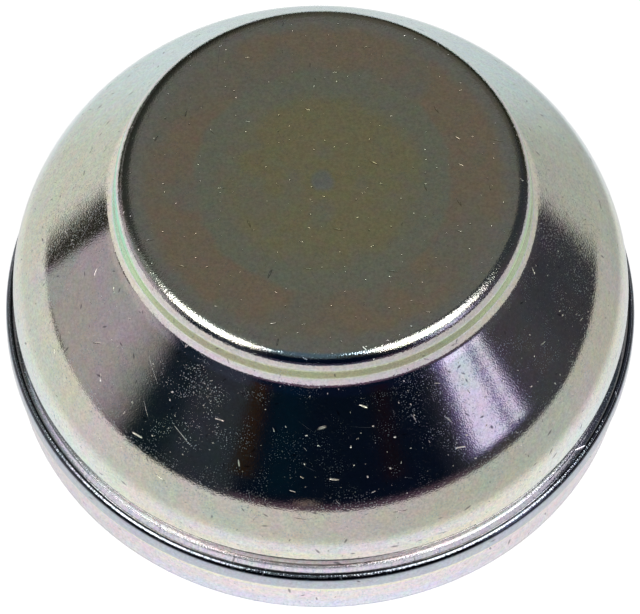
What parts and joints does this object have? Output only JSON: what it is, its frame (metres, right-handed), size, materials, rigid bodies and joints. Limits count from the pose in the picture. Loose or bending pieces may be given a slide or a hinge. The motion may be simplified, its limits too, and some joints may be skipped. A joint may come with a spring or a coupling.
{
  "type": "hub grease cap",
  "caption": "Deep-drawn sheet-steel grease cap with a raised flat crown, a rounded shoulder, a folded bead and an open press-in sleeve.",
  "frame": {"origin": "on the axis, in the plane of the sleeve's cut mouth edge", "axes": "+Z along the axis from the open mouth to the closed crown; +X and +Y are any two square directions across it, because the cap is round"},
  "size_m": [0.071, 0.071, 0.0351],
  "materials": {
    "plated_steel": "bright zinc plating, passivated, with a pale yellow, green and violet tint"
  },
  "bodies": {
    "root": {"cap_shell": "plated_steel"}
  },
  "joints": []
}
